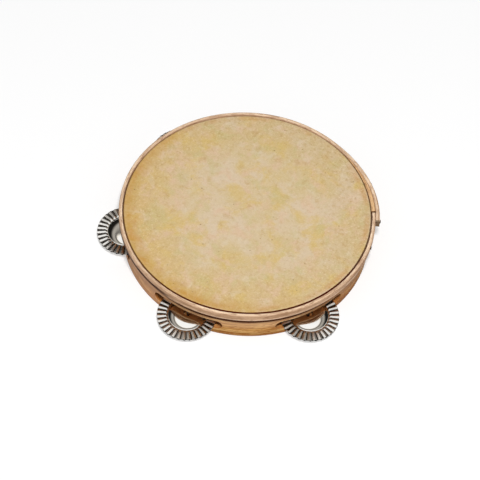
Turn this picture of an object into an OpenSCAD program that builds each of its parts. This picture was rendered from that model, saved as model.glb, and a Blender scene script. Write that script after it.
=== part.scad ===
// Tambourine: a bent wooden shell, a skin head held down by a lapped wooden hoop,
// and five pairs of ribbed jingles that slide on steel pins in long slots.
// Six places are spaced round the shell: five carry jingles and one is left plain as the grip.
// +Z is up, the open rim stands on z = 0, and the origin is on the shell's axis.

/* [Shell] */
// Outer diameter of the shell
shell_d = 254; // [220:1:330]
// Thickness of the shell's wall
shell_wall = 9; // [7:0.5:12]
// Height from the open rim to the edge that carries the skin
shell_h = 41; // [36:0.5:60]
// Rounding of the rim's corners and of the bearing edge's inner corner
shell_round = 1; // [0.4:0.1:1.6]
// Rounding of the bearing edge's outer corner, where the skin turns over
turn_round = 2; // [1:0.1:3]

/* [Jingle slots] */
// Wood left below a slot
slot_sill = 7.5; // [6:0.5:10]
// Room between a jingle's edge and each end of its slot
slot_end_room = 8.8; // [6:0.2:12]
// How far the second slot is cut round from its even place, in degrees
second_slot_turn = 2.5; // [0:0.1:4]
// How far the third slot is cut round from its even place, in degrees
third_slot_turn = 1.1; // [0:0.1:4]

/* [Jingles] */
// Diameter of a jingle
jingle_d = 60.4; // [50:0.4:68]
// Thickness of the sheet metal
jingle_sheet = 0.5; // [0.4:0.05:0.8]
// Diameter of the raised dome, where the ribbed brim begins
dome_d = 38; // [30:1:44]
// Height of the dome above the brim
dome_h = 3.4; // [2:0.1:6]
// Number of radial ribs pressed into the brim
rib_count = 32; // [24:1:44]
// Height of a rib above the brim
rib_h = 0.8; // [0.3:0.05:1]
// Diameter of the hole that the pin goes through
jingle_hole_d = 5.4; // [5:0.1:6]
// How far each jingle of a pair can slide up its pin
jingle_lift = 3; // [1.5:0.1:4]
// How far a jingle hangs out of the shell from its pin's middle
jingle_hang = 1.2; // [0:0.1:1.2]
// How far a jingle tips over the slot's outer edge, in degrees
jingle_droop = 3; // [0:0.5:3]

/* [Pins] */
// Diameter of a jingle pin
pin_d = 2; // [1.6:0.1:3]
// Length of pin driven into the wood above its slot
pin_bite = 10; // [6:0.5:12]
// Depth of a pin's end below the open rim's face
pin_recess = 0.3; // [0.1:0.1:1]

/* [Head] */
// Thickness of the skin
skin_t = 0.4; // [0.3:0.05:0.8]
// Length of skin turned down outside the shell, under the hoop
skin_fold = 7; // [4:0.5:8]

/* [Hoop] */
// Thickness of the hoop's strip
hoop_t = 4.2; // [3:0.1:5.5]
// Height of the hoop's strip
hoop_h = 8.6; // [8:0.2:12]
// How far the hoop stands above the skin
hoop_proud = 0.6; // [0.2:0.1:2]
// Rounding of the hoop's outer corners
hoop_round = 1.5; // [0.5:0.1:1.9]
// Rounding of the hoop's inner corners
hoop_inner_round = 0.5; // [0.2:0.1:1]
// Angle over which the strip's tail laps its own start, in degrees
tail_angle = 5.3; // [5:0.1:10]
// Angle over which the strip rises from the head on to the filler before the seam, in degrees
rise_angle = 46; // [36:1:54]
// Width of the seam between the strip's start and the filler
seam_gap = 0.8; // [0.2:0.1:1]

/* [Tacks] */
// Diameter of a tack's head
tack_head_d = 4.2; // [3:0.1:5.5]
// Height of a tack's head
tack_head_h = 0.9; // [0.5:0.1:1.4]
// Diameter of a tack's shank
tack_shank_d = 1.4; // [1:0.1:2]
// Length of shank driven into the shell's wood
tack_bite = 4; // [2:0.5:5]

/* [Hidden] */
$fn = 96;
PLACES = 6;           // evenly spaced places round the shell, the grip's among them
GRIP_ANGLE = 30;      // direction of the grip and of the hoop's seam, in degrees from +X
PAIRS = PLACES - 1;
DOME_STEPS = 8;       // straight stretches that draw the curve of a dome
CUT = 1;              // how far a cut runs past the face it goes through
GLUE_GAP = 0.05;      // between curved wood and skin that touch
LAP_GAP = 0.12;       // between the tail and the strip that it lies on
TIP_ANGLE = 12;       // degrees left empty where the filler would be a knife edge
FILLER_EASE = 0.3;    // sharp edges of the filler taken off
STRIP_STEP = 2;       // degrees between the sections that the bent strip is drawn through
DRIVE_FIT = 0.02;     // round a pin or tack in its hole
REST_GAP = 0.2;       // under the lower jingle, and between the ribs of a pair
TOP_GAP = 0.4;        // over a raised jingle, below the top of its slot
TACK_ANGLES = [341, -3.8, 17];  // tacks, in degrees round from the seam

shell_r = shell_d / 2;
jingle_r = jingle_d / 2;
pin_ring_r = shell_r - shell_wall / 2;
place_step = 360 / PLACES;

// A tipped jingle's middle stands higher than its sheet at the slot's outer edge, and the part
// of its dome under the wall's inner face stands higher still
droop_slope = tan(jingle_droop);
edge_drop = (shell_wall / 2 - jingle_hang) * droop_slope;
inner_rise = (shell_wall / 2 + jingle_hang) * droop_slope;

pair_step = jingle_sheet + rib_h + REST_GAP;   // from the lower jingle of a pair to the upper
lower_z = slot_sill + REST_GAP + edge_drop;
upper_z = lower_z + pair_step;
raised_top = upper_z + dome_h + jingle_sheet + inner_rise + 2 * jingle_lift;
slot_top = ceil(10 * (raised_top + TOP_GAP)) / 10;   // slots are marked out in whole tenths
slot_h = slot_top - slot_sill;
slot_len = jingle_d + 2 * slot_end_room;
pin_top = slot_top + pin_bite;

fold_in_r = shell_r + GLUE_GAP;
skin_r = fold_in_r + skin_t;
skin_top = shell_h + skin_t;

hoop_in_r = skin_r + GLUE_GAP;
hoop_out_r = hoop_in_r + hoop_t;
hoop_top = skin_top + hoop_proud;
hoop_z = hoop_top - hoop_h;

// The strip runs once round the head from the seam, rises over rise_angle on to the filler, and
// ends with its tail lying on its own start. Its place is given by the angle round from the seam
lap_step = hoop_t + LAP_GAP;
tail_start = -tail_angle;
ring_end = 360;

// How far the strip stands out from the head's edge at an angle round from the seam
function rise_part(a) = min(1, max(0, 1 - a / rise_angle));
function lap_rise(a) = lap_step * pow(rise_part(a), 2) * (3 - 2 * rise_part(a));
function lap_slope(a) = atan(
    lap_step * 6 * rise_part(a) * (1 - rise_part(a)) / (rise_angle * PI / 180) / hoop_out_r
);

// ---- shared shapes

// What a rounded corner at the origin loses, for a section that fills +X +Y
module corner_waste(r) {
    if (r > 0)
        difference() {
            translate([-CUT, -CUT]) square(r + CUT);
            translate([r, r]) circle(r);
        }
}

// A section w wide and h high. Its corners are rounded: lower left, lower right,
// upper right and upper left
module rounded_section(w, h, ll, lr, ur, ul) {
    difference() {
        square([w, h]);
        corner_waste(ll);
        translate([w, 0]) mirror([1, 0]) corner_waste(lr);
        translate([w, h]) rotate(180) corner_waste(ur);
        translate([0, h]) mirror([0, 1]) corner_waste(ul);
    }
}

// How far place i lies round from its even spacing
function place_turn(i) = i == 2 ? second_slot_turn : i == 3 ? third_slot_turn : 0;

// Puts its children on the pin of place i, with +X pointing out of the shell
module at_place(i) {
    rotate([0, 0, GRIP_ANGLE + i * place_step + place_turn(i)])
        translate([pin_ring_r, 0, 0])
            children();
}

// Points of a rounded corner: a quarter circle in n steps
function corner_points(x, y, r, from, n) = [
    for (k = [0:n]) [x + r * cos(from + 90 * k / n), y + r * sin(from + 90 * k / n)]
];

// One closed body through a row of rings of points, all rings with the same number of points
module strip_body(rings) {
    n = len(rings[0]);
    last = len(rings) - 1;
    polyhedron(
        points = [for (ring = rings) each ring],
        faces = concat(
            [[for (k = [0:n - 1]) k]],
            [[for (k = [n - 1:-1:0]) last * n + k]],
            [
                for (j = [0:last - 1]) for (k = [0:n - 1])
                    let (m = (k + 1) % n)
                        [j * n + k, (j + 1) * n + k, (j + 1) * n + m, j * n + m]
            ]
        ),
        convexity = 8
    );
}

// A section's points, stood up round the head at an angle from the seam, and out from its edge
function stand(section, a, out) = [
    for (p = section)
        let (r = hoop_in_r + out + p.x, turn = GRIP_ANGLE + a)
            [r * cos(turn), r * sin(turn), hoop_z + p.y]
];

// Angles from one end to the other in even steps of about STRIP_STEP
function strip_angles(from, to) =
    let (count = ceil((to - from) / STRIP_STEP))
        [for (k = [0:count]) from + (to - from) * k / count];

// ---- shell

module slot_cut() {
    rise = slot_h / 2;
    run = slot_len / 2 - rise;
    translate([-pin_ring_r / 2, 0, slot_sill + rise])
        rotate([90, 0, 90])
            linear_extrude(height = pin_ring_r / 2 + shell_wall) {
                square([2 * run, slot_h], center = true);
                for (side = [-1, 1])
                    translate([side * run, 0]) circle(rise);
            }
}

module pin_hole() {
    translate([0, 0, -CUT])
        cylinder(h = pin_top + CUT + REST_GAP, d = pin_d + 2 * DRIVE_FIT);
}

module shell() {
    color("#c8924f")
        difference() {
            rotate_extrude($fn = 240)
                translate([shell_r - shell_wall, 0])
                    rounded_section(shell_wall, shell_h, shell_round, shell_round, turn_round, shell_round);
            for (i = [1:PAIRS])
                at_place(i) {
                    slot_cut();
                    pin_hole();
                }
            tack_shanks(DRIVE_FIT);
        }
}

// ---- head

module skin() {
    fold_z = skin_top - skin_fold;
    turn_in = turn_round + GLUE_GAP;
    color("#d6c08a")
        difference() {
            rotate_extrude($fn = 240)
                difference() {
                    translate([0, fold_z])
                        rounded_section(skin_r, skin_fold, 0, 0, turn_in + skin_t, 0);
                    translate([-CUT, fold_z - CUT])
                        rounded_section(fold_in_r + CUT, skin_fold + CUT - skin_t, 0, 0, turn_in, 0);
                }
            tack_shanks(DRIVE_FIT);
        }
}

// ---- hoop

module hoop() {
    outer_x = hoop_t - hoop_round;
    section = concat(
        corner_points(hoop_inner_round, hoop_inner_round, hoop_inner_round, 180, 1),
        corner_points(outer_x, hoop_round, hoop_round, 270, 3),
        corner_points(outer_x, hoop_h - hoop_round, hoop_round, 0, 3),
        corner_points(hoop_inner_round, hoop_h - hoop_inner_round, hoop_inner_round, 90, 1)
    );
    color("#e2c49c")
        difference() {
            strip_body([for (a = strip_angles(tail_start, ring_end)) stand(section, a, lap_rise(a))]);
            tack_shanks(DRIVE_FIT);
        }
}

// Crescent that fills the space between the head and the rising strip
module hoop_filler() {
    ease = FILLER_EASE;
    seam = seam_gap / hoop_in_r * 180 / PI;
    color("#d9b88c")
        difference() {
            strip_body([
                for (a = strip_angles(seam, rise_angle - TIP_ANGLE))
                    let (w = lap_rise(a) - LAP_GAP)
                        stand(
                            [[0, ease], [ease, 0], [w, 0], [w, hoop_h], [ease, hoop_h], [0, hoop_h - ease]],
                            a,
                            0
                        )
            ]);
            tack_shanks(DRIVE_FIT);
        }
}

// ---- tacks

// A tack that points along -X, with its head seated at the origin
module tack_shank(length, fit) {
    rotate([0, -90, 0])
        cylinder(h = length + fit, d = tack_shank_d + 2 * fit, $fn = 32);
}

module tack_head() {
    top_r = tack_head_d / 4;
    rotate([0, 90, 0])
        rotate_extrude($fn = 48)
            polygon([[0, 0], [tack_head_d / 2, 0], [tack_head_d / 2, tack_head_h / 3], [top_r, tack_head_h], [0, tack_head_h]]);
}

// Puts its children on each tack's seat, with +X out of the hoop. $reach is the shank's length
module at_tacks() {
    seat = 0.02;                               // keeps a flat head just off the bent strip
    for (a = TACK_ANGLES) {
        out = hoop_out_r + lap_rise(a) + seat;
        $reach = out - shell_r + tack_bite;
        rotate([0, 0, GRIP_ANGLE + a])
            translate([out, 0, hoop_z + hoop_h / 2])
                rotate([0, 0, a > 0 ? lap_slope(a) : 0])
                    children();
    }
}

module tack_shanks(fit) {
    at_tacks() tack_shank($reach, fit);
}

module hoop_tacks() {
    color("#4a3a2c")
        at_tacks() {
            tack_head();
            tack_shank($reach, 0);
        }
}

// ---- jingles and their pins

module pin(i) {
    color("#8c8c8c")
        at_place(i)
            translate([0, 0, pin_recess])
                cylinder(h = pin_top - pin_recess, d = pin_d);
}

// Height of the sheet's underside above the brim's, at radius r: flat on top, steep at the foot
function dome_rise(r) = dome_h * (1 - min(1, pow(2 * r / dome_d, 4)));

dome_radii = concat(
    [jingle_hole_d / 2],
    [for (s = [1:DOME_STEPS]) dome_d / 2 * sqrt(s / DOME_STEPS)],
    [jingle_r]
);

module jingle_sheet_section() {
    last = len(dome_radii) - 1;
    polygon(concat(
        [for (r = dome_radii) [r, dome_rise(r) + jingle_sheet]],
        [for (k = [last:-1:0]) [dome_radii[k], dome_rise(dome_radii[k])]]
    ));
}

// One rib, half a pitch wide all the way out
module jingle_rib() {
    inner = dome_d / 2 + rib_h;
    outer = jingle_r - rib_h;
    half = 90 / rib_count;
    translate([0, 0, jingle_sheet / 2])
        linear_extrude(height = jingle_sheet / 2 + rib_h)
            polygon([for (p = [[inner, -half], [outer, -half], [outer, half], [inner, half]])
                [p[0] * cos(p[1]), p[0] * sin(p[1])]]);
}

// A jingle of place i, hung out from its pin and tipped, with its middle at height z
module jingle(i, z) {
    color("#d5d5d8")
        at_place(i)
            translate([jingle_hang, 0, z]) rotate([0, jingle_droop, 0]) {
                rotate_extrude($fn = 96) jingle_sheet_section();
                for (k = [0:rib_count - 1])
                    rotate([0, 0, k * 360 / rib_count]) jingle_rib();
            }
}

shell();
skin();
hoop();
hoop_filler();
hoop_tacks();
for (i = [1:PAIRS]) {
    pin(i);
    jingle(i, lower_z);
    jingle(i, upper_z);
}
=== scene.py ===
# %% [markdown]
# # A hand tambourine
#
# A tambourine is a bent wooden ring, the shell, with a skin stretched over one side and pairs of
# metal plates, the jingles, hung in slots round its wall. The solid model of it was made first,
# piece by piece. This lesson dresses that model: it gives every piece the surface that the real
# one has, and swaps some of the plainer pieces for finer ones of the same size.

# %% Load the solid model
import math
import bmesh
import bpy
from mathutils import Matrix, Vector, noise


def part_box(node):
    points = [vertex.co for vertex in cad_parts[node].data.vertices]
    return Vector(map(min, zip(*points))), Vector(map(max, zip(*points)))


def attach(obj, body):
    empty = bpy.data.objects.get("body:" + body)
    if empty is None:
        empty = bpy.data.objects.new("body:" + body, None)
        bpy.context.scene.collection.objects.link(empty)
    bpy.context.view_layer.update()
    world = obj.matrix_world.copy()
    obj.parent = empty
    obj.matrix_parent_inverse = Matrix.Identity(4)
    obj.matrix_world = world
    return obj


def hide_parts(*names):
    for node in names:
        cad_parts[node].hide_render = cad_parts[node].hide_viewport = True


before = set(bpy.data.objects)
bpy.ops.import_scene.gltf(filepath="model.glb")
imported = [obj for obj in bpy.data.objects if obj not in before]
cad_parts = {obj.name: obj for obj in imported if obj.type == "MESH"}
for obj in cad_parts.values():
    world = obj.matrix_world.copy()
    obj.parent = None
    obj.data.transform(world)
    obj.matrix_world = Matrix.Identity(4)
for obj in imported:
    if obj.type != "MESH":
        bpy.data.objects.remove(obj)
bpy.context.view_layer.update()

for name in ("Cube", "Light", "Camera"):
    if name in bpy.data.objects:
        bpy.data.objects.remove(bpy.data.objects[name])

# %% [markdown]
# ## Measures
#
# Blender works in metres, and small hand-made things are easier to think about in millimetres.
# So lengths below are in millimetres and are multiplied by MM when vertices are made. Whatever
# can be measured on the solid model is measured there, so the two can't drift apart. The few
# sizes that a box can't show, such as the angle over which the hoop's lap rises, are repeated.

# %% Sizes taken from the solid model
MM = 0.001


def box_mm(node):
    """Lowest and highest corner of a solid piece, in millimetres."""
    low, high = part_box(node)
    return low / MM, high / MM


shell_high = box_mm("shell")[1]
skin_low, skin_high = box_mm("skin")
hoop_low, hoop_high = box_mm("hoop")
jingle_low, jingle_high = box_mm("jingle_1_lower")

SHELL_R = shell_high.x
SKIN_R = skin_high.x
SKIN_TOP = skin_high.z
SKIN_THICK = 0.4
FOLD_LOW = skin_low.z
HOOP_OUT_R = hoop_high.x
HOOP_THICK = 4.2
HOOP_IN_R = HOOP_OUT_R - HOOP_THICK
HOOP_TOP, HOOP_LOW = hoop_high.z, hoop_low.z
GRIP_ANGLE = 30.0
RISE_ANGLE = 46.0
TAIL_ANGLE = 5.3
LAP_GAP = 0.12
LAP_STEP = HOOP_THICK + LAP_GAP
SLOT_LOW, SLOT_HIGH, SLOT_LENGTH = 7.5, 20.0, 78.0
SECOND_SLOT_TURN, THIRD_SLOT_TURN = 2.5, 1.1
SLOTS = 5
PLACES = SLOTS + 1
JINGLE_R = (jingle_high.x - jingle_low.x) / 2
print("radius of shell, hoop and jingle:", [round(r, 2) for r in (SHELL_R, HOOP_OUT_R, JINGLE_R)])

# %% [markdown]
# ## The camera
#
# The camera looks down on the head from in front, fairly far away with a long lens, so that the
# round head is drawn as an ellipse with hardly any perspective. It is leaned over a little, the
# way a hand-held camera is. A camera is easiest to place by its direction: an angle round the
# object, a height angle and a distance, all measured from the middle of the hoop's top. The
# angles, the lens and the aim were fitted until the rims lay on the photo's ellipses.

# %% Camera
CAMERA_ROUND = math.radians(26.0)
CAMERA_HEIGHT = math.radians(53.13)
CAMERA_LEAN = math.radians(3.715)
CAMERA_DISTANCE = 2.54
LENS_LENGTH, SENSOR_WIDTH = 186.15, 36.0
FARTHEST_SEEN = 50
AIM_RIGHT, AIM_UP = 0.007655, 0.02984


def direction(turn, height):
    """A unit vector at an angle round from -Y towards +X and an angle above the table."""
    return Vector((
        math.sin(turn) * math.cos(height),
        -math.cos(turn) * math.cos(height),
        math.sin(height),
    ))


back = direction(CAMERA_ROUND, CAMERA_HEIGHT)
level = Vector((math.cos(CAMERA_ROUND), math.sin(CAMERA_ROUND), 0))
upward = back.cross(level)
right = level * math.cos(CAMERA_LEAN) + upward * math.sin(CAMERA_LEAN)
top = upward * math.cos(CAMERA_LEAN) - level * math.sin(CAMERA_LEAN)

camera_data = bpy.data.cameras.new("camera")
camera_data.lens = LENS_LENGTH
camera_data.sensor_width = SENSOR_WIDTH
camera_data.clip_end = FARTHEST_SEEN
camera = bpy.data.objects.new("camera", camera_data)
bpy.context.scene.collection.objects.link(camera)
camera.rotation_mode = "QUATERNION"
camera.rotation_quaternion = Matrix((right, top, back)).transposed().to_quaternion()
hoop_middle = Vector((0, 0, HOOP_TOP * MM))
camera.location = hoop_middle + back * CAMERA_DISTANCE - right * AIM_RIGHT - top * AIM_UP
bpy.context.scene.camera = camera
bpy.context.scene.view_settings.view_transform = "Standard"
print("camera at", [round(c, 3) for c in camera.location])

# %% [markdown]
# ## Shader sums
#
# A material in Blender is a net of nodes. Long sums are hard to read as nodes and easy to read
# as Python, so the small class below wraps one socket and lets + - * / ** stand for Math nodes.
# The Finish class holds one material, and its node method makes every other kind of node. Most
# finishes here are built like real ones: a ground colour, and then coats over it, each with a
# mask that says where it lies and how thick.

# %% Helpers for materials
class Wire:
    """One output of a node, which can be used in ordinary sums."""

    def __init__(self, tree, socket):
        self.tree, self.socket = tree, socket

    def sum(self, operation, *values, clamp=False):
        node = self.tree.nodes.new("ShaderNodeMath")
        node.operation, node.use_clamp = operation, clamp
        for place, value in zip(node.inputs, values):
            connect(self.tree, value, place)
        return Wire(self.tree, node.outputs[0])

    def __add__(self, other):
        return self.sum("ADD", self, other)

    def __sub__(self, other):
        return self.sum("SUBTRACT", self, other)

    def __rsub__(self, other):
        return self.sum("SUBTRACT", other, self)

    def __mul__(self, other):
        return self.sum("MULTIPLY", self, other)

    def __truediv__(self, other):
        return self.sum("DIVIDE", self, other)

    def __pow__(self, other):
        return self.sum("POWER", self, other)

    __radd__, __rmul__ = __add__, __mul__

    def held(self):
        """The value kept between 0 and 1."""
        return self.sum("ADD", self, 0.0, clamp=True)


def connect(tree, value, place):
    """Puts a number, a colour or a wire into a socket."""
    if isinstance(value, Wire):
        tree.links.new(value.socket, place)
    else:
        place.default_value = value


class Finish:
    """A material being made: one Principled shader and the nodes that feed it."""

    def __init__(self, name):
        self.material = bpy.data.materials.new(name)
        self.material.use_nodes = True
        self.tree = self.material.node_tree
        self.shader = self.tree.nodes["Principled BSDF"]

    def node(self, kind, settings=(), values=(), output=0):
        """Any node: its type, its settings, then the values or links of its sockets."""
        node = self.tree.nodes.new(kind)
        for key, setting in dict(settings).items():
            if key == "stops":
                ramp = node.color_ramp.elements
                while len(ramp) < len(setting):
                    ramp.new(0.5)
                for element, (position, colour) in zip(ramp, setting):
                    element.position, element.color = position, colour
            else:
                setattr(node, key, setting)
        for key, value in dict(values).items():
            connect(self.tree, value, node.inputs[key])
        return Wire(self.tree, node.outputs[output])

    def place(self):
        """Where a point of the surface is on the piece at rest, as three wires in millimetres."""
        point = self.node("ShaderNodeTexCoord", output=3)
        return [
            self.node("ShaderNodeSeparateXYZ", values={0: point}, output=k) / MM for k in range(3)
        ]

    def stored(self, name):
        """Three numbers that were stored on the mesh's points, as three wires."""
        vector = self.node("ShaderNodeAttribute", {"attribute_name": name}, output=1)
        return [self.node("ShaderNodeSeparateXYZ", values={0: vector}, output=k) for k in range(3)]

    def point(self, x, y, z):
        """Three wires or numbers as one position, for a noise to read."""
        return self.node("ShaderNodeCombineXYZ", values={0: x, 1: y, 2: z})

    def clouds(self, point, detail=3.0, rough=0.55, bend=0.0):
        """Soft noise about one unit in size, from 0 to 1."""
        return self.node(
            "ShaderNodeTexNoise",
            {"noise_dimensions": "3D"},
            {"Vector": point, "Scale": 1.0, "Detail": detail, "Roughness": rough, "Distortion": bend},
        )

    def step(self, value, low, high):
        """0 below low, 1 above high and a smooth rise between. low may be the larger one."""
        return self.node(
            "ShaderNodeMapRange",
            {"interpolation_type": "SMOOTHSTEP"},
            {"Value": value, "From Min": low, "From Max": high, "To Min": 0.0, "To Max": 1.0},
        )

    def mix(self, share, first, second):
        """Two colours mixed by a share from 0, all first, to 1, all second."""
        return self.node(
            "ShaderNodeMix",
            {"data_type": "RGBA", "blend_type": "MIX", "clamp_factor": True},
            {0: share, 6: first, 7: second},
            output=2,
        )

    def coats(self, colour, *coats):
        """A colour with coats laid over it, each given as its share and its colour."""
        for share, shade in coats:
            colour = self.mix(share, colour, shade)
        return colour

    def finish(self, colour, rough, height=None, depth=0.0, metal=0.0, **constants):
        """Feeds the shader. height is a wire for the bump, and depth its depth in millimetres."""
        connect(self.tree, colour, self.shader.inputs["Base Color"])
        connect(self.tree, rough, self.shader.inputs["Roughness"])
        connect(self.tree, metal, self.shader.inputs["Metallic"])
        if height is not None:
            bump = self.node(
                "ShaderNodeBump", values={"Height": height, "Strength": 1.0, "Distance": depth * MM}
            )
            connect(self.tree, bump, self.shader.inputs["Normal"])
        for key, value in constants.items():
            self.shader.inputs[key.replace("_", " ")].default_value = value
        return self.material


def tone(red, green, blue):
    """A colour given as on a paint card, 0 to 255, as Blender wants it."""

    def straight(c):
        c /= 255
        return c / 12.92 if c <= 0.04045 else ((c + 0.055) / 1.055) ** 2.4

    return (straight(red), straight(green), straight(blue), 1.0)


print("a mid brown as Blender sees it:", [round(c, 3) for c in tone(185, 136, 82)])

# %% [markdown]
# ## Light
#
# The sky gives even light from all round. It is white where it is looked at and dimmer as a lamp,
# so that pale wood doesn't turn white under it. One lamp hangs high over the camera. It is small
# for its distance, so its shadow has only a slightly soft edge, and it is hidden from reflections,
# where it would be a hard white spot. Plated metal has no colour of its own, and without something
# dark to reflect it looks like grey paint, so studios stand black cards round the table. Here
# that is a ring of card that only reflections see: black at the foot, a grey band half-way up, a
# darker one over it, and white at the top. Each slope of a jingle's ribs then mirrors its own
# band.

# %% World and lamp
SKY_STRENGTH = 0.32
LAMP_ROUND, LAMP_HEIGHT = math.radians(32.0), math.radians(65.0)
LAMP_DISTANCE, LAMP_WIDTH, LAMP_POWER = 3.0, 0.32, 68.0

world = bpy.data.worlds.new("studio")
world.use_nodes = True
sky = world.node_tree.nodes["Background"]
seen_directly = world.node_tree.nodes.new("ShaderNodeLightPath")
white_for = Wire(world.node_tree, seen_directly.outputs["Is Camera Ray"])
for ray in ("Is Glossy Ray", "Is Transmission Ray"):
    white_for = white_for + Wire(world.node_tree, seen_directly.outputs[ray])
sky.inputs["Color"].default_value = (1, 1, 1, 1)
connect(world.node_tree, white_for.held() * (1 - SKY_STRENGTH) + SKY_STRENGTH, sky.inputs["Strength"])
bpy.context.scene.world = world

lamp_data = bpy.data.lights.new("front_lamp", "AREA")
lamp_data.shape, lamp_data.size, lamp_data.energy = "SQUARE", LAMP_WIDTH, LAMP_POWER
lamp = bpy.data.objects.new("front_lamp", lamp_data)
bpy.context.scene.collection.objects.link(lamp)
lamp.location = direction(LAMP_ROUND, LAMP_HEIGHT) * LAMP_DISTANCE
lamp.rotation_mode = "QUATERNION"
lamp.rotation_quaternion = Vector(lamp.location).to_track_quat("Z", "Y")
lamp.visible_glossy = False
print("lamp power:", LAMP_POWER, "W")

# %% [markdown]
# The floor is a plain white table. A part of its brightness is its own where the camera or a
# shiny surface looks at it, so it reads as white and still shows the object's soft shadow.

# %% Floor and card
FLOOR_R, FLOOR_DROP = 8.0, 0.0002
FLOOR_GREY, FLOOR_GLOW = 0.6, 0.42


def stage_object(name, mesh):
    """Something of the studio, which isn't part of the drum."""
    item = bpy.data.objects.new(name, mesh)
    bpy.context.scene.collection.objects.link(item)
    return item


def disc_mesh(name, radius, height, count=64):
    mesh = bpy.data.meshes.new(name)
    turns = [2 * math.pi * k / count for k in range(count)]
    corners = [(radius * math.cos(t), radius * math.sin(t), height) for t in turns]
    mesh.from_pydata(corners, [], [list(range(count))])
    return mesh


floor = stage_object("floor", disc_mesh("floor", FLOOR_R, -FLOOR_DROP))
floor_finish = Finish("floor_white")
path = floor_finish.tree.nodes.new("ShaderNodeLightPath")
looked_at = Wire(floor_finish.tree, path.outputs["Is Camera Ray"])
looked_at = looked_at + Wire(floor_finish.tree, path.outputs["Is Glossy Ray"])
floor_finish.shader.inputs["Emission Strength"].default_value = 1.0
glow = floor_finish.mix(looked_at.held(), (0, 0, 0, 1), (FLOOR_GLOW, FLOOR_GLOW, FLOOR_GLOW, 1))
connect(floor_finish.tree, glow, floor_finish.shader.inputs["Emission Color"])
floor_colour = (FLOOR_GREY, FLOOR_GREY, FLOOR_GREY, 1)
floor.data.materials.append(floor_finish.finish(floor_colour, 0.9, Specular_IOR_Level=0.0))

CARD_R, CARD_TOP = 1.3, 2.6
CARD_LEVELS = (
    (0, 0.01), (32, 0.012), (37, 0.14), (43, 0.42), (50, 0.4), (53, 0.14), (56.5, 0.14), (59, 0.97),
)


def card_mesh(count=96):
    """A bare ring of card that stands round the table."""
    mesh = bpy.data.meshes.new("black_card")
    turns = [2 * math.pi * k / count for k in range(count)]
    corners = [(CARD_R * math.cos(t), CARD_R * math.sin(t), z) for z in (0.0, CARD_TOP) for t in turns]
    faces = [[k, (k + 1) % count, count + (k + 1) % count, count + k] for k in range(count)]
    mesh.from_pydata(corners, [], faces)
    return mesh


card = stage_object("black_card", card_mesh())
card.visible_camera = card.visible_diffuse = card.visible_shadow = False
card.visible_transmission = card.visible_volume_scatter = False
card_finish = Finish("card_black_to_grey")
height = card_finish.place()[2] * (MM / CARD_TOP)


def card_stop(elevation, level):
    """A stop of the card's shading, at the angle in degrees at which the drum sees it."""
    warm = (level, level * 0.93, level * 0.84, 1)
    return CARD_R * math.tan(math.radians(elevation)) / CARD_TOP, warm


shade = card_finish.node(
    "ShaderNodeValToRGB",
    {"stops": [card_stop(*stop) for stop in CARD_LEVELS] + [(1.0, (1, 1, 1, 1))]},
    {0: height},
)
connect(card_finish.tree, shade, card_finish.shader.inputs["Emission Color"])
card_finish.shader.inputs["Emission Strength"].default_value = 1.0
card.data.materials.append(card_finish.finish((0, 0, 0, 1), 1.0, Specular_IOR_Level=0.0))
print("floor and card are stage pieces")

# %% [markdown]
# ## Making a piece from rings of points
#
# Bent strips, hides and turned plates are all one idea: a closed line of points, moved along or
# round, leaves a skin behind it. The helper below joins a row of such rings into one closed mesh,
# smooths it, and can store extra numbers on the points. Those let a wood grain follow the bend
# of its strip, which a plain block texture can't do. Where rings meet in one point, as in the
# middle of the head, the doubled points are joined before the piece is used.

# %% Helper for swept pieces
def skin_rings(name, rings, round_again=False, extra=None):
    """A closed mesh through rings of points, in millimetres. extra holds one vector per point."""
    count, total = len(rings[0]), len(rings)
    points = [Vector(p) * MM for ring in rings for p in ring]
    faces = []
    for j in range(total if round_again else total - 1):
        one, two = j * count, (j + 1) % total * count
        for k in range(count):
            m = (k + 1) % count
            faces.append([one + k, one + m, two + m, two + k])
    if not round_again:
        faces.append(list(range(count))[::-1])
        faces.append([(total - 1) * count + k for k in range(count)])
    mesh = bpy.data.meshes.new(name)
    mesh.from_pydata(points, [], faces)
    mesh.polygons.foreach_set("use_smooth", [len(f) == 4 for f in faces])
    if extra:
        layer = mesh.attributes.new("strip", "FLOAT_VECTOR", "POINT")
        layer.data.foreach_set("vector", [c for v in extra for c in v])
    mesh.update()
    piece = bpy.data.objects.new(name, mesh)
    bpy.context.scene.collection.objects.link(piece)
    return piece


JOIN_WITHIN = 0.001


def turn_outward(piece):
    """Joins points that coincide and makes the faces look outward."""
    work = bmesh.new()
    work.from_mesh(piece.data)
    bmesh.ops.remove_doubles(work, verts=work.verts, dist=JOIN_WITHIN * MM)
    bmesh.ops.recalc_face_normals(work, faces=work.faces)
    work.to_mesh(piece.data)
    work.free()


def wander(x, y, z):
    """Even, repeatable unevenness between about -1 and 1."""
    return noise.noise(Vector((x, y, z)))


def dress(piece, body, replaced, material):
    """Gives a new piece its body, the solids it stands for and its material."""
    turn_outward(piece)
    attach(piece, body)
    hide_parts(*replaced)
    piece.data.materials.append(material)
    print(piece.name, "has", len(piece.data.polygons), "faces")


# %% [markdown]
# ## Wood
#
# Bent strips are split or sawn along the grain, so the grain runs round the ring. Four things
# make wood look like wood: broad bands of lighter and darker growth, fine lines that follow them,
# darker flecks, and pores, which are short dark dashes. All four are noise stretched a long way
# along the strip. The wood is given in strip measures: along, outwards and up. Contrast says how
# sharply the bands part and how dark the lines and flecks lie over them.

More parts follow.
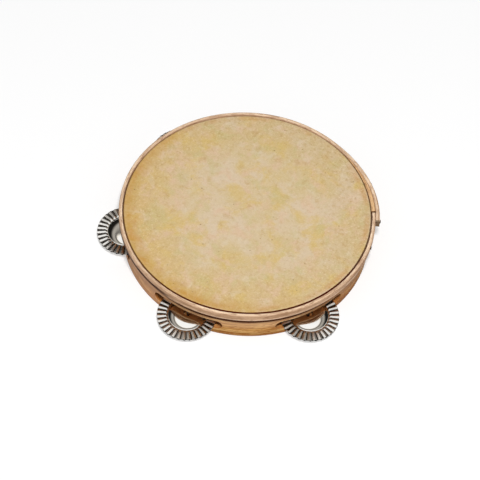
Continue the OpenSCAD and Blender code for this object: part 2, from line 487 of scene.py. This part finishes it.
# %% Wood finish
def wood(finish, along, out, up, light, middle, dark, pore, seed, contrast=1.0):
    """Colour, roughness and bump height of a bent strip's wood."""
    drift = finish.clouds(finish.point(along * 0.006 + seed, out * 0.03, up * 0.03), 2.0) - 0.5
    up_bent = up + drift * 9.0
    out_bent = out + drift * 4.0
    bands = finish.clouds(finish.point(along * 0.009 + seed, out_bent * 0.16, up_bent * 0.2), 3.0)
    lines = finish.clouds(
        finish.point(along * 0.022 - seed, out_bent * 0.55, up_bent * 0.6), 4.0, 0.65
    )
    flecks = finish.clouds(
        finish.point(along * 0.12 + seed, out_bent * 0.5, up_bent * 0.5), 3.0, 0.6
    )
    pores = finish.clouds(finish.point(along * 0.2 + seed, out_bent * 1.6, up_bent * 1.6), 2.0)
    band_share = finish.step(bands, 0.5 - 0.2 / contrast, 0.5 + 0.2 / contrast)
    line_share = finish.step(lines, 0.42, 0.66)
    fleck_share = finish.step(flecks, 0.46, 0.7)
    pore_share = finish.step(pores, 0.6, 0.72)
    colour = finish.coats(
        middle,
        (band_share, light),
        (line_share * 0.62 * contrast, dark),
        (fleck_share * 0.6 * contrast, dark),
        (pore_share * 0.5, pore),
    )
    rough = 0.42 + 0.12 * line_share + 0.1 * pore_share
    height = 0.6 - 0.35 * line_share - 0.2 * fleck_share - 0.65 * pore_share
    return colour, rough, height


# %% [markdown]
# ## The shell
#
# The shell is a bent strip of golden brown wood. Its solid shape is right as it is, slots and
# all, so it keeps its mesh and only gets a finish. The strip's measures come from the angle
# round the ring. The two ends of the strip meet in the grip, where the hoop's lap also is, and
# the angle is counted so that the grain breaks exactly there, as it does on the real joint.
# Over the plain wood lie coats. The lacquer is rubbed thin on the slots' edges, and these are
# painted paler, for that wear and as a painted highlight where the edges catch the light. The
# inside and the sawn faces are darker and redder, and the slots' ceilings are painted a bright
# orange, as painted light for the light that bounces up into the slots.
# The other coats follow the photo and are painted light and shade, which stay put when the light
# moves: the foot of the wall is painted darker and its top lighter, one side is painted pinker and
# lighter and another browner and darker, and a dark line runs below the hoop and fades upwards.
# That line is mostly painted shadow of the hoop and partly dirt, because the hoop's own shadow is
# too pale here, where the light comes from all round.

# %% Shell finish
def towards(side, x, y):
    """How far a point lies towards a side of the drum: 1 at the wall there, -1 at the opposite."""
    return (x * math.cos(side) + y * math.sin(side)) / SHELL_R


def round_the_ring(finish):
    """Strip measures of a point on the shell: along, outwards, up, and the angle in degrees."""
    x, y, z = finish.place()
    c, s = math.cos(math.radians(GRIP_ANGLE)), math.sin(math.radians(GRIP_ANGLE))
    forward = x * -c + y * -s
    sideways = x * s + y * -c
    angle = forward.sum("ARCTAN2", sideways, forward)
    radius = (x * x + y * y) ** 0.5
    return angle * SHELL_R, radius, z, angle * (180 / math.pi)


def slot_distance(finish, angle, z):
    """How far a point on the wall is from the outline of the nearest slot, in millimetres."""
    places = 360 / PLACES
    for even_angle, turn in ((-places, SECOND_SLOT_TURN), (0, THIRD_SLOT_TURN)):
        off = angle - even_angle
        angle = angle - turn * finish.step(off.sum("ABSOLUTE", off), places / 2 + 1, places / 2 - 1)
    turned = (angle + 180 + places / 2) / places
    share = turned - turned.sum("FLOOR", turned) - 0.5
    along = share.sum("ABSOLUTE", share) * (places * math.pi / 180 * SHELL_R)
    half = (SLOT_HIGH - SLOT_LOW) / 2
    beyond = along - (SLOT_LENGTH / 2 - half)
    beyond = beyond.sum("MAXIMUM", beyond, 0.0)
    rise = z - (SLOT_LOW + half)
    return (beyond * beyond + rise * rise) ** 0.5 - half


GRIP_EDGE = 180 - 180 / PLACES
PINK_SIDE, BROWN_SIDE = math.radians(231), math.radians(345)
# Each coat comes in between two heights above the table, in millimetres.
PAINTED_SHADE_FOOT, PAINTED_LIGHT_HIGH_WALL, PAINTED_LIGHT_CEILING = (9.0, 0.0), (9.0, 20.0), (16.5, 19.0)
PAINTED_SHADOW_LINE, PAINTED_SHADOW_FULL = (23.3, 24.1), (31.0, 27.0)

shell_finish = Finish("lacquered_shell_wood")
along, radius, z, angle = round_the_ring(shell_finish)
x, y, _ = shell_finish.place()
colour, rough, height = wood(
    shell_finish, along, radius, z,
    light=tone(240, 194, 122), middle=tone(222, 168, 94), dark=tone(168, 102, 40),
    pore=tone(110, 60, 22), seed=3.0, contrast=1.6,
)
# The slots' edges are painted paler: rubbed lacquer, and a painted highlight where the edges catch the
# light.
near_slot = shell_finish.step(slot_distance(shell_finish, angle, z), 1.1, 0.25)
off_grip = shell_finish.step(angle.sum("ABSOLUTE", angle), GRIP_EDGE + 2, GRIP_EDGE)
outside = shell_finish.step(radius, SHELL_R - 0.5, SHELL_R - 0.25)
wear = shell_finish.clouds(shell_finish.point(along * 0.12, radius, z * 0.3), 3.0)
worn_and_lit_edge = near_slot * off_grip * outside * (0.2 + 0.5 * wear)
colour = shell_finish.mix(worn_and_lit_edge, colour, tone(228, 190, 138))
sawn = shell_finish.mix(wear, tone(178, 112, 60), tone(146, 80, 38))
# The slots' ceilings are painted bright orange: painted light for the light that bounces up into the
# slots.
sawn = shell_finish.mix(shell_finish.step(z, *PAINTED_LIGHT_CEILING), sawn, tone(250, 160, 96))
colour = shell_finish.mix(outside, shell_finish.mix(0.7, colour, sawn), colour)
# Below the hoop lies a painted shadow of the hoop, partly dirt: a dark line with a sharp lower edge
# that fades upwards.
line = shell_finish.step(z, *PAINTED_SHADOW_LINE) * (0.3 + 0.66 * shell_finish.step(z, *PAINTED_SHADOW_FULL))
# One side is painted pinker and lighter, and another browner and darker: painted light and shade.
lit_pink = shell_finish.step(towards(PINK_SIDE, x, y), 0.75, 0.95)
shaded_brown = shell_finish.step(towards(BROWN_SIDE, x, y), 0.92, 0.98)
stain = shell_finish.clouds(shell_finish.point(along * 0.02, radius * 0.05, z * 0.07), 3.0)
# The foot is painted darker and the high wall lighter: painted shade and painted light.
colour = shell_finish.coats(
    colour,
    (shell_finish.step(z, *PAINTED_SHADE_FOOT) * outside * 0.65, tone(138, 84, 36)),
    (shell_finish.step(z, *PAINTED_LIGHT_HIGH_WALL) * outside * 0.4, tone(234, 188, 152)),
    (line * outside, tone(78, 28, 0)),
    (lit_pink * outside * 0.5, tone(230, 172, 134)),
    (shaded_brown * outside * 0.4, tone(150, 78, 26)),
    (shell_finish.step(stain, 0.56, 0.74) * 0.35, tone(160, 98, 52)),
)
shell_wood = shell_finish.finish(colour, rough, height, depth=0.10, Specular_IOR_Level=0.04)


def refinish(node, material):
    """A new material for a solid piece whose shape stays."""
    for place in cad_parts[node].material_slots:
        place.link = "OBJECT"
        place.material = material


refinish("shell", shell_wood)
print("shell has", len(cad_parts["shell"].data.polygons), "faces")

# %% [markdown]
# ## The hoop
#
# The hoop is a paler strip that is bent once round the rim and laps over its own start. On the
# solid model it is drawn with flat steps, so here the same strip is drawn finely: eased edges, a
# sawn end that is a little rounded, and the slight unevenness of a strip that was steamed and
# bent by hand. Its path is the solid's own: up on the filler at the seam, a smooth fall to the
# head, and close to the head for the rest of the way round.

# %% Hoop
def lap_rise(a):
    """How far the strip stands off the head at an angle from the seam, in millimetres."""
    part = min(1.0, max(0.0, 1 - a / RISE_ANGLE))
    return LAP_STEP * part ** 2 * (3 - 2 * part)


def eased_box(width, height, corners, steps=5, between=3):
    """Points round a box with rounded corners, as (out, up), from the low inner corner outwards."""
    arcs = []
    for k, (far, high, r) in enumerate(zip((0, 1, 1, 0), (0, 0, 1, 1), corners)):
        x, y = width - r if far else r, height - r if high else r
        turns = [math.radians(180 + 90 * (k + j / steps)) for j in range(steps + 1)]
        arcs.append([(x + r * math.cos(t), y + r * math.sin(t)) for t in turns])
    shares = [j / (between + 1) for j in range(1, between + 1)]
    points = []
    for arc, next_arc in zip(arcs, arcs[1:] + arcs[:1]):
        (x, y), (next_x, next_y) = arc[-1], next_arc[0]
        points += arc
        points += [(x + (next_x - x) * share, y + (next_y - y) * share) for share in shares]
    return points


def drawn_in(value, middle, pinch):
    """A measure brought nearer to the middle by the pinch, but not past it."""
    return value - math.copysign(min(pinch, abs(value - middle)), value - middle)


def bent_strip(name, first, last, section_at, step=0.75, ease=0.35):
    """A strip along the rim from one angle to another, with its sawn ends eased.

    section_at(a) gives how far the strip stands off the head there, and its section's points.
    """
    count = math.ceil((last - first) / step)
    per_mm = 180 / math.pi / HOOP_IN_R
    eased_end = ((0.0, 1.0), (0.3, 0.42), (1.0, 0.0))
    stations = [(first + ease * s * per_mm, ease * e) for s, e in eased_end]
    for k in range(count + 1):
        a = first + (last - first) * k / count
        if first + 2 * ease * per_mm < a < last - 2 * ease * per_mm:
            stations.append((a, 0.0))
    stations += [(last - ease * s * per_mm, ease * e) for s, e in eased_end[::-1]]
    rings, extra = [], []
    for a, pinch in stations:
        offset, points = section_at(a)
        middle_out, middle_up = [sum(c) / len(points) for c in zip(*points)]
        turn = math.radians(GRIP_ANGLE + a)
        ring = []
        for out, up in points:
            out = drawn_in(out, middle_out, pinch)
            up = drawn_in(up, middle_up, pinch)
            r = HOOP_IN_R + offset + out
            ring.append((r * math.cos(turn), r * math.sin(turn), HOOP_LOW + up))
            extra.append((math.radians(a) * HOOP_OUT_R, out, up))
        rings.append(ring)
    return skin_rings(name, rings, extra=extra)


HOOP_HEIGHT = HOOP_TOP - HOOP_LOW
LOW_IN_CORNER, LOW_OUT_CORNER, TOP_OUT_CORNER = 0.5, 0.25, 1.5
TOP_IN_CORNER, TOP_IN_CORNER_ON_LAP = 1.3, 0.4
UNEVEN_HEIGHT, UNEVEN_THICK, FOOT_LIFT = 0.12, 0.06, 0.1


def hoop_section(a):
    """The strip's section at an angle: a little uneven, and never larger than the solid's."""
    low = UNEVEN_HEIGHT * (1 + wander(a * 0.05, 1.0, 0))
    thin = UNEVEN_THICK * (1 + wander(a * 0.11, 5.0, 0))
    top_in = TOP_IN_CORNER + (TOP_IN_CORNER_ON_LAP - TOP_IN_CORNER) * lap_rise(a) / LAP_STEP
    corners = (LOW_IN_CORNER, LOW_OUT_CORNER, TOP_OUT_CORNER, top_in)
    box = eased_box(HOOP_THICK - 2 * thin, HOOP_HEIGHT - low - FOOT_LIFT, corners)
    return lap_rise(a) + thin, [(x, y + FOOT_LIFT) for x, y in box]


hoop = bent_strip("hoop_strip", -TAIL_ANGLE, 360.0, hoop_section)

# %% [markdown]
# The hoop's wood is pale and a little pink, close to bare. Its grain follows the strip, so it
# reads the measures that were stored on the points. Its wall is painted lighter and darker by
# height, as painted light and shade: the top edge is polished lighter by hands and painted lighter
# as a highlight, and the lowest stretch of the wall is a painted highlight, brighter than such wood
# is, like the bright edge that the photo's sharpening left there. Two dark lines are painted,
# partly for dirt and mostly for shadow, which light from all round leaves too pale: in the groove
# against the head, most on one side and least on the opposite one, and along a part of the hoop's
# lower edge. The tail's sawn end is painted darker, and the strip's other end at the seam is brown.

# %% Hoop finish
LIT_CLEAN_SIDE, SHADOWED_DUSTY_SIDE = math.radians(125), PINK_SIDE
LAP_LENGTH = math.radians(RISE_ANGLE) * HOOP_OUT_R
TAIL_END = -math.radians(TAIL_ANGLE) * HOOP_OUT_R
STRIP_END = 2 * math.pi * HOOP_OUT_R
SEAM_BROWN = tone(104, 60, 26)
PAINTED_WALL_LIGHT_TONES = (
    (0.0, tone(255, 222, 186)), (0.16, tone(255, 218, 182)), (0.3, tone(238, 196, 160)),
    (0.45, tone(224, 184, 149)), (0.78, tone(226, 186, 151)), (0.92, tone(234, 197, 163)),
)


def groove_shade_and_dirt(finish, x, y):
    """How far a point lies on the side with the most painted shade and dirt, and how much of both the
    groove has there.
    """
    to_lit_clean = towards(LIT_CLEAN_SIDE, x, y)
    most_shaded_and_dirty = finish.step(to_lit_clean, -0.2, -0.9)
    return most_shaded_and_dirty, 0.15 + 0.55 * finish.step(to_lit_clean, 0.75, 0.1) + 0.3 * most_shaded_and_dirty


hoop_finish = Finish("pale_hoop_wood")
along, out, up = hoop_finish.stored("strip")
x, y, _ = hoop_finish.place()
# The wall is painted lighter and darker by height and its top edge lighter: painted light and shade,
# with a painted highlight along the lowest stretch.
lit_wall = hoop_finish.node("ShaderNodeValToRGB", {"stops": PAINTED_WALL_LIGHT_TONES}, {0: up / HOOP_HEIGHT})
top = hoop_finish.step(up, HOOP_HEIGHT - 0.9, HOOP_HEIGHT - 0.2)
pale = hoop_finish.mix(top, lit_wall, tone(248, 219, 187))
colour, rough, height = wood(
    hoop_finish, along, out, up,
    light=pale,
    middle=hoop_finish.mix(0.5, pale, tone(206, 172, 140)),
    dark=hoop_finish.mix(0.75, pale, tone(154, 108, 74)),
    pore=tone(128, 86, 56), seed=11.0, contrast=1.5,
)
# The groove's dark line is painted shadow and some dirt, most on one side and least on the opposite
# one.
most_shaded_and_dirty, shade_and_dirt = groove_shade_and_dirt(hoop_finish, x, y)
inner_edge = hoop_finish.step(out - 0.55 * most_shaded_and_dirty, 1.05, 0.5)
inner_edge = inner_edge * hoop_finish.step(up, HOOP_HEIGHT - 3.0, HOOP_HEIGHT - 1.0)
beyond_lap = hoop_finish.step(along, LAP_LENGTH * 0.7, LAP_LENGTH)
# Along part of the hoop's lower edge runs a dark line: painted shadow, and some dust.
drift = hoop_finish.clouds(hoop_finish.point(along * 0.09, 0.0, up * 0.2), 3.0) - 0.5
edge_shadow_and_dust = hoop_finish.step(towards(SHADOWED_DUSTY_SIDE, x, y) + 0.1 * drift, 0.84, 0.95)
edge_shadow_and_dust = edge_shadow_and_dust * hoop_finish.step(up + 2.0 * drift, 4.4, 3.0)
# The tail's sawn end is painted darker, in blotches.
end_blotch = hoop_finish.clouds(hoop_finish.point(along * 0.5, out * 0.5, up * 0.5), 3.0)
sawn_end = hoop_finish.step(along + 1.6 * end_blotch, TAIL_END + 3.0, TAIL_END + 2.0)
colour = hoop_finish.coats(
    colour,
    (inner_edge * shade_and_dirt * beyond_lap, tone(78, 22, 0)),
    (edge_shadow_and_dust * 0.97, tone(58, 18, 0)),
    (sawn_end * 0.75, tone(88, 74, 54)),
    (hoop_finish.step(along, STRIP_END - 0.9, STRIP_END - 0.5), SEAM_BROWN),
)
hoop_wood = hoop_finish.finish(colour, rough, height, depth=0.12, Specular_IOR_Level=0.03)
dress(hoop, "frame", ["hoop"], hoop_wood)

# %% [markdown]
# ## The filler
#
# Under the rising strip is a crescent of softer, darker wood, pared by hand to a thin tip. It
# starts at the seam, a short brown line across the rim, and is made the same way as the strip.

# %% Filler
SEAM_GAP = 0.8
TIP_ANGLE = 12.0
FILLER_CORNER, FILLER_DROP = 0.4, 0.25


def filler_section(a):
    """The crescent's section at an angle. Its top lies a little under the strip's."""
    wide = lap_rise(a) - LAP_GAP
    corner = min(FILLER_CORNER, wide / 3)
    return 0.0, eased_box(wide, HOOP_HEIGHT - FILLER_DROP, (corner,) * 4, steps=3)


seam = SEAM_GAP / HOOP_IN_R * 180 / math.pi
filler = bent_strip("lap_filler", seam, RISE_ANGLE - TIP_ANGLE, filler_section, ease=0.2)
filler_finish = Finish("filler_wood")
along, out, up = filler_finish.stored("strip")
colour, rough, height = wood(
    filler_finish, along, out, up,
    light=tone(232, 190, 140), middle=tone(216, 172, 118), dark=tone(168, 116, 70),
    pore=tone(120, 78, 44), seed=23.0, contrast=1.3,
)
FILLER_START = math.radians(seam) * HOOP_OUT_R
at_seam = filler_finish.step(along, FILLER_START + 0.7, FILLER_START + 0.3)
colour = filler_finish.mix(at_seam, colour, SEAM_BROWN)
filler_wood = filler_finish.finish(colour, rough, height, depth=0.14)
dress(filler, "frame", ["hoop_filler"], filler_wood)

# %% [markdown]
# ## The head
#
# The head is a dried hide. It is stretched while wet, turned down over the rim and glued, and
# the hoop covers the turned edge. It is a thin shell of real thickness here, drawn as one ring
# of points turned round: across the top, over the rounded shoulder, down the wall and back
# inside. Close to the rim the drying hide pulls into faint radial ripples, and all of it is
# uneven by a tenth of a millimetre or so, which a flat disc never is.

# %% Head
SHOULDER = 2.45
SHOULDER_LOW = SKIN_TOP - SHOULDER
SHOULDER_IN_R = SKIN_R - SHOULDER
EASE_IN, EASE_UP = 0.12, 0.15
WALL_DROPS = (1.5, 3.0)
TOP_RADII = (0.0, 8, 20, 34, 48, 62, 75, 86, 95, 102, 107, 111, 114, 117, 119.5, 121.5, 123.2)
UNDER_RADII = (123.2, 119.5, 114, 107, 95, 75, 48, 20, 0.0)


def shoulder(bend, turns):
    """Points of the rounded shoulder, with the bend's radius."""
    return [(SHOULDER_IN_R + bend * math.cos(t), SHOULDER_LOW + bend * math.sin(t)) for t in turns]


def head_profile():
    """(radius, height) along the hide: over the top, down the outside and back underneath."""
    inside_r = SKIN_R - SKIN_THICK
    quarter = [math.radians(90 - 90 * k / 8) for k in range(9)]
    points = [(r, SKIN_TOP) for r in TOP_RADII] + shoulder(SHOULDER, quarter)
    points += [(SKIN_R, SHOULDER_LOW - drop) for drop in WALL_DROPS]
    points += [(SKIN_R, FOLD_LOW + EASE_UP), (SKIN_R - EASE_IN, FOLD_LOW)]
    points += [(inside_r + EASE_IN, FOLD_LOW), (inside_r, FOLD_LOW + EASE_UP)]
    points += [(inside_r, SHOULDER_LOW - drop) for drop in WALL_DROPS[::-1]]
    points += shoulder(SHOULDER - SKIN_THICK, quarter[::-1])
    return points + [(r, SKIN_TOP - SKIN_THICK) for r in UNDER_RADII]


RIPPLE_DEPTH, SAG_DEPTH = 0.09, 0.05
RIPPLE_START, RIPPLE_RISE, RIPPLE_FALL, RIPPLE_END = 98.0, 20.0, 3.0, 126.5
HEAD_TURNS = 240


def dip(r, turn):
    """How far the hide lies under the plane of its top, in millimetres."""
    c, s = math.cos(turn), math.sin(turn)
    rise = min(1.0, max(0.0, (r - RIPPLE_START) / RIPPLE_RISE))
    fall = min(1.0, max(0.0, (RIPPLE_END - r) / RIPPLE_FALL))
    ripple = RIPPLE_DEPTH * rise * fall * (0.5 + 0.5 * wander(c * 9, s * 9, r * 0.012))
    return ripple + SAG_DEPTH * (1 + wander(r * 0.02 * c, r * 0.02 * s, 4))


profile = head_profile()
rings = []
for k in range(HEAD_TURNS):
    t = 2 * math.pi * k / HEAD_TURNS
    ring = []
    for r, h in profile:
        lower = dip(r, t) if r < SKIN_R - 1 else 0.0
        ring.append((r * math.cos(t), r * math.sin(t), h - lower))
    rings.append(ring)
head = skin_rings("head_hide", rings, round_again=True)

# %% [markdown]
# A hide is never one colour. It has broad patches from pale tan to yellow, and is yellower
# towards the rim, most of all at one side, which also has burnt patches of orange brown. Blots
# of several sizes and tones lie over that, then pale grain and brown pits of a millimetre or two,
# fine fibres, a band of orange near the rim where glue and damp got in, specks of the old hair
# roots, and the dark line in the groove at the hoop, which is painted shadow and some dirt.

# %% Head finish
YELLOW_SIDE = math.radians(232)
# Each tone comes in between two distances from the middle, in millimetres.
TO_RIM, BURNT, FRONT_RIM = (62.0, 122.0), (100.0, 120.0), (110.0, 121.0)
GLUE_IN, GLUE_OUT, GROOVE = (118.5, 122.5), (126.4, 124.2), (SKIN_R - 1.4, SKIN_R - 0.85)
# For each kind of blot: fineness, layer, the noise where it starts and is full, strength, colour.
BLOTS = (
    (0.030, 31.0, 0.48, 0.66, 0.80, tone(210, 180, 108)),
    (0.050, 37.0, 0.48, 0.68, 0.75, tone(216, 184, 154)),
    (0.045, 43.0, 0.50, 0.68, 0.55, tone(196, 182, 128)),
    (0.060, 53.0, 0.52, 0.72, 0.45, tone(218, 202, 176)),
    (0.100, 67.0, 0.54, 0.74, 0.50, tone(188, 152, 98)),
)

head_finish = Finish("drum_hide")
x, y, _ = head_finish.place()
radius = (x * x + y * y) ** 0.5


def hide_clouds(fine, layer, shift_x=0.0, shift_y=0.0, **kind):
    """Noise over the hide. A larger fine gives smaller clouds, and each layer is another noise."""
    spot = head_finish.point(x * fine + shift_x, y * fine + shift_y, layer)
    return head_finish.clouds(spot, **kind)


patch = hide_clouds(0.018, 1.0, detail=4.0, rough=0.6, bend=0.4)
second = hide_clouds(0.035, 5.0, 7.0, detail=4.0, rough=0.6, bend=0.2)
mottle = hide_clouds(0.16, 9.0, detail=4.0, rough=0.6)
blotch = hide_clouds(0.03, 14.0)
grain = hide_clouds(0.38, 21.0, 5.0, rough=0.6)
pits = hide_clouds(0.3, 27.0, 0.0, -9.0, rough=0.6)
burn = hide_clouds(0.05, 33.0, detail=4.0, rough=0.65)
fibre = head_finish.clouds(head_finish.point(x * 0.55 + y * 0.3, y * 0.9 - x * 0.3, 2.0))
speck_cells = head_finish.node(
    "ShaderNodeTexVoronoi", {"feature": "F1"},
    {"Vector": head_finish.point(x * 0.11, y * 0.11, 0.0), "Scale": 1.0, "Randomness": 1.0},
)

to_rim = head_finish.step(radius, *TO_RIM)
to_yellow = towards(YELLOW_SIDE, x, y)
yellow = to_rim * head_finish.step(to_yellow + (patch - 0.5) * 1.4, -0.5, 0.9)
colour = head_finish.coats(
    tone(214, 193, 165),
    (head_finish.step(patch, 0.36, 0.62), tone(208, 185, 140)),
    (to_rim * 0.35, tone(196, 168, 118)),
    (yellow * 0.7, tone(210, 175, 106)),
    (to_rim * head_finish.step(second, 0.5, 0.7) * 0.5, tone(206, 172, 116)),
)
for fine, layer, low, high, most, shade in BLOTS:
    blot = hide_clouds(fine, layer, layer, detail=4.0, rough=0.6, bend=0.3)
    colour = head_finish.mix(head_finish.step(blot, low, high) * most, colour, shade)

band = head_finish.step(radius, *GLUE_IN) * head_finish.step(radius, *GLUE_OUT)
burnt = head_finish.step(radius, *BURNT) * head_finish.step(to_yellow, 0.1, 0.85)
burnt = burnt * head_finish.step(burn, 0.5, 0.66)
front_rim = head_finish.step(radius, *FRONT_RIM) * head_finish.step(to_yellow, -0.2, 0.7)
speck = head_finish.step(speck_cells, 0.11, 0.04) * head_finish.step(mottle, 0.5, 0.56)
# The dark line in the groove at the hoop is painted shadow and some dirt.
groove = head_finish.step(radius, *GROOVE)
_, shade_and_dirt = groove_shade_and_dirt(head_finish, x, y)
colour = head_finish.coats(
    colour,
    (head_finish.step(mottle, 0.44, 0.72) * (0.2 + 0.2 * to_rim), tone(190, 158, 104)),
    (head_finish.step(fibre, 0.45, 0.75) * 0.3, tone(240, 222, 186)),
    (band * head_finish.step(blotch, 0.38, 0.66) * 0.5, tone(196, 146, 88)),
    (head_finish.step(grain, 0.5, 0.7) * (0.16 + 0.2 * to_rim), tone(236, 214, 176)),
    (head_finish.step(pits, 0.52, 0.72) * (0.18 + 0.26 * to_rim), tone(172, 132, 72)),
    (burnt * 0.38, tone(198, 140, 68)),
    (front_rim * (0.05 + 0.7 * mottle), tone(192, 146, 66)),
    (speck * 0.7, tone(140, 104, 62)),
    (groove * shade_and_dirt, tone(78, 18, 0)),
)
rough = (0.5 + 0.14 * (mottle - 0.5) + 0.08 * fibre) * (1 - groove) + groove
height = 0.55 * fibre + 0.45 * mottle - 0.5 * speck
hide = head_finish.finish(colour, rough, height, depth=0.12, Specular_IOR_Level=0.03)
dress(head, "frame", ["skin"], hide)

# %% [markdown]
# ## The jingles
#
# A jingle is a plate of plated sheet about a third of a millimetre thick. It is pressed: a low
# dome in the middle with a hole for the pin, and ribs round the brim that stiffen it and make it
# bright. The solid has its ribs on a flat, thicker sheet. Here one section is turned round, with
# the ribs as a wave that lifts the sheet, so both sides follow the same wave, as pressed metal
# does, and the whole is as high as the solid. The wave has straight flanks and tight bends,
# because a flank that is flat mirrors one tone. The valleys between the ribs are painted dark, as
# tarnish and as a painted dark reflection, so how deep each point lies in its valley is stored
# for the finish.

# %% Jingle shape
SOLID_SHEET, SOLID_RIB = 0.5, 0.8
SHEET = 0.35
SHEET_SPARE = SOLID_SHEET - SHEET
RIB_HEIGHT, RIB_COUNT = SOLID_RIB + SHEET_SPARE, 32
BEND = 0.022
BEND_STEPS = [k * BEND for k in range(-2, 3)]
RIB_PHASES = BEND_STEPS + [0.25] + [0.5 + step for step in BEND_STEPS] + [0.75]
RIB_GAP, RIB_RUN = 0.2, 2.2
DOME_FOOT_R, DOME_HEIGHT = 19.0, 3.4
HOLE_R, PUNCH_DEPTH, PUNCH_REACH = 2.7, 0.2, 1.5
HANG, DROOP = 1.2, math.radians(3)


def dome(r):
    """Height of the sheet's underside at radius r. The punch has dragged the hole's edge down."""
    raised = (DOME_HEIGHT + SHEET_SPARE) * (1 - min(1.0, (r / DOME_FOOT_R) ** 4))
    return raised - PUNCH_DEPTH * max(0.0, 1 - (r - HOLE_R) / PUNCH_REACH) ** 2


def rib_share(r):
    """How much of the rib's height is reached at radius r: it rises from the dome's foot."""
    part = min(1.0, max(0.0, (r - DOME_FOOT_R - RIB_GAP) / RIB_RUN))
    return part * part * (3 - 2 * part)


def rib_wave(phase):
    """1 on a crest, where the phase is 0, and 0 in a valley, with straight flanks and tight bends."""
    off = abs((phase + 0.5) % 1 - 0.5)
    bend = BEND / 2 if min(off, 0.5 - off) < BEND / 2 else 0.0
    return 1 - 2 * min(max(off, bend), 0.5 - bend)


def jingle_profile():
    """(radius, 1 on the face and 0 on the back) from the hole over the face and back again."""
    face = [HOLE_R + 0.12, 3.2, 4.2, 6.0, 8.0, 10.0, 11.5, 13.0, 14.5, 15.7, 16.8, 17.7, 18.4, 19.0]
    face += [19.5, 20.1, 20.7, 21.4, 23.0, 25.0, 27.0, 28.8, JINGLE_R - 0.25, JINGLE_R - 0.06]
    rim = [(JINGLE_R, 0.7), (JINGLE_R, 0.3)]
    hole = [(HOLE_R, 0.2), (HOLE_R, 0.8)]
    return [(r, 1.0) for r in face] + rim + [(r, 0.0) for r in face[::-1]] + hole


def jingle(node, pin, body, spin, seed, material):
    """A plate hung out from its pin and tipped over the slot's outer edge."""
    pin_low, pin_high = box_mm(pin)
    foot = (pin_low + pin_high) / 2
    outward = math.atan2(foot.y, foot.x)
    middle = Vector((foot.x, foot.y, box_mm(node)[0].z + JINGLE_R * math.sin(DROOP)))
    middle += Vector((math.cos(outward), math.sin(outward), 0)) * HANG
    turned = Matrix.Rotation(outward, 3, "Z") @ Matrix.Rotation(DROOP, 3, "Y")
    profile = jingle_profile()
    rings, extra = [], []
    for phase in (rib + part for rib in range(RIB_COUNT) for part in RIB_PHASES):
        t = 2 * math.pi * (phase + 0.25) / RIB_COUNT
        lively = 0.94 + 0.06 * wander(math.cos(t) * 8, math.sin(t) * 8, seed)
        wave = rib_wave(phase) * lively
        ring = []
        for r, face in profile:
            z = dome(r) + RIB_HEIGHT * rib_share(r) * wave + SHEET * face
            flat = Vector((r * math.cos(t + spin), r * math.sin(t + spin), z))
            ring.append(middle + turned @ flat)
            extra.append((rib_share(r) * (1 - wave), r, t))
        rings.append(ring)
    piece = skin_rings(node + "_plate", rings, round_again=True, extra=extra)
    dress(piece, body, [node], material)


# %% [markdown]
# Plated steel is a mirror with a warm cast. Handling leaves faint smears that blur it, stamping
# leaves hair lines, and the valleys between the ribs are painted brown and dull: tarnish, and a
# painted dark reflection.

# %% Jingle finish
jingle_finish = Finish("plated_jingle")
valley, r, _ = jingle_finish.stored("strip")
x, y, z = jingle_finish.place()
smear = jingle_finish.clouds(jingle_finish.point(x * 0.06, y * 0.06, z * 0.2), 4.0)
grit = jingle_finish.clouds(jingle_finish.point(x * 0.7, y * 0.7, z * 0.7), 3.0)
hair = jingle_finish.clouds(jingle_finish.point(x * 2.2 + y, y * 0.25, z), 2.0)
# The valleys are painted dark: tarnish, and a painted dark reflection between the ribs.
tarnish_and_dark_reflection = jingle_finish.step(valley + 0.3 * (grit - 0.5), 0.6, 0.9)
colour = jingle_finish.mix(smear, tone(250, 249, 246), tone(240, 238, 232))
colour = jingle_finish.mix(tarnish_and_dark_reflection, colour, tone(64, 55, 45))
brim = jingle_finish.step(r, DOME_FOOT_R, DOME_FOOT_R + 2)
rough = 0.07 + 0.07 * jingle_finish.step(smear, 0.4, 0.7) + 0.2 * brim + 0.2 * tarnish_and_dark_reflection
scratches = hair * 0.5 + grit * 0.5
plated = jingle_finish.finish(colour, rough, scratches, depth=0.012, metal=1.0)

# %% [markdown]
# The pairs hang as they were dropped: each is turned by its own angle about its pin, and the two
# plates of a pair are turned a little against each other, so their ribs don't line up. The last
# three pairs are turned so that their ribs lie where the photo's do. The others are guesses.

# %% Ten jingles
PAIR_TURNS = (0.43, 0.80, 1.134, 1.516, 1.942)
LOWER_BEHIND = 0.06
for i, turn in enumerate(PAIR_TURNS, 1):
    for k, layer in enumerate(("lower", "upper")):
        jingle(
            f"jingle_{i}_{layer}", f"pin_{i}", f"{layer}_jingle_{i}",
            spin=turn - LOWER_BEHIND * (1 - k), seed=3 * i + k, material=plated,
        )

# %% [markdown]
# ## Pins and tacks
#
# The jingles hang on plain steel pins, and three tacks hold the hoop's lap. Both are small, so
# their solid shapes stay. The pins are steel painted dark, as painted shade for the jingles' holes
# round them; the tacks have gone brown.

# %% Pin and tack finishes
# The pins are painted dark: painted shade for the jingles' holes round them.
pin_finish = Finish("pin_steel")
x, y, z = pin_finish.place()
rings_round = pin_finish.clouds(pin_finish.point(x * 0.4, y * 0.4, z * 3.0), 2.0)
colour = pin_finish.mix(rings_round, tone(96, 88, 78), tone(62, 54, 46))
rough = 0.3 + 0.2 * rings_round
pin_steel = pin_finish.finish(colour, rough, rings_round, depth=0.02, metal=1.0)
for i in range(1, SLOTS + 1):
    refinish(f"pin_{i}", pin_steel)

tack_finish = Finish("browned_tack")
x, y, z = tack_finish.place()
rust = tack_finish.clouds(tack_finish.point(x * 0.9, y * 0.9, z * 0.9), 3.0)
colour = tack_finish.mix(tack_finish.step(rust, 0.42, 0.6), tone(96, 78, 60), tone(74, 46, 26))
tack_steel = tack_finish.finish(colour, 0.4 + 0.25 * rust, rust, depth=0.05, metal=0.8)
refinish("hoop_tacks", tack_steel)
print("pins and tacks finished")
